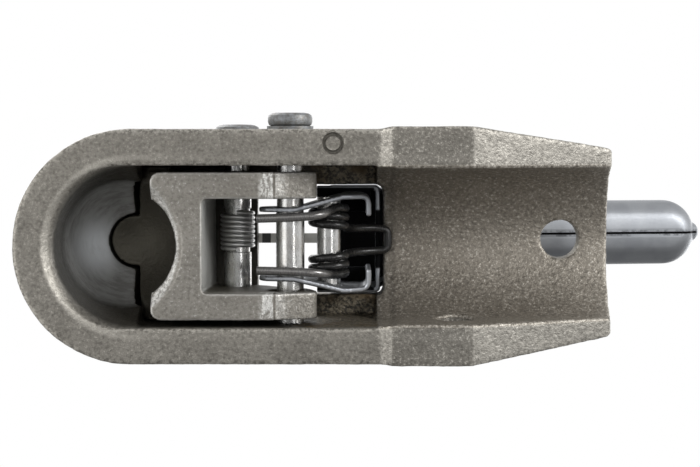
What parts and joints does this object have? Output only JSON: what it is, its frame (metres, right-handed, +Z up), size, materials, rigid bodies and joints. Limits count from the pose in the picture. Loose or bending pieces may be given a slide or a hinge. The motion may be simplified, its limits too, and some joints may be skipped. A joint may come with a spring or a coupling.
{
  "type": "trailer coupling head",
  "caption": "Cast coupling head with a ball socket, a pivoting jaw, a sprung folded sheet handle and a half-round drawbar channel with bolt holes.",
  "frame": {"origin": "centre of the 50 mm coupling ball when it is held in the socket", "axes": "+X along the drawbar towards the trailer, +Z up, +Y to the left of the head seen from the trailer, the rim lies level below"},
  "size_m": [0.2853, 0.0976, 0.1236],
  "materials": {
    "casting": "rough as cast, bare, grey-beige",
    "jaw_casting": "as cast, worn bright on its ridges and lip",
    "pin_steel": "ground, oily",
    "spring_steel": "dark oiled wire",
    "plated_sheet": "bright zinc plating, slightly blue"
  },
  "bodies": {
    "body": {"body_casting": "casting", "jaw_pin": "pin_steel", "handle_pin": "pin_steel", "handle_pin_split_washer": "pin_steel", "jaw_return_spring": "spring_steel", "indicator_strip": "pin_steel", "indicator_rivet": "pin_steel"},
    "jaw": {"ball_jaw": "jaw_casting"},
    "lever": {"handle": "plated_sheet", "spring_pin": "pin_steel", "handle_spring": "spring_steel"}
  },
  "joints": [
    {"name": "handle_lift", "type": "hinge", "parent": "body", "child": "lever", "pos_m": [0.0649, 0, 0.003], "axis": [0, -1, 0], "range_deg": [0, 40], "stiffness_Nm_per_rad": 0.6, "springref_deg": -34.38, "deforming": ["handle_spring"]},
    {"name": "jaw_swing", "type": "hinge", "parent": "body", "child": "jaw", "pos_m": [0.043, 0, 0.02], "axis": [0, -1, 0], "range_deg": [0, 10]}
  ],
  "couplings": [
    {"joint": "jaw_swing", "follows": "handle_lift", "ratio": 0.25}
  ]
}
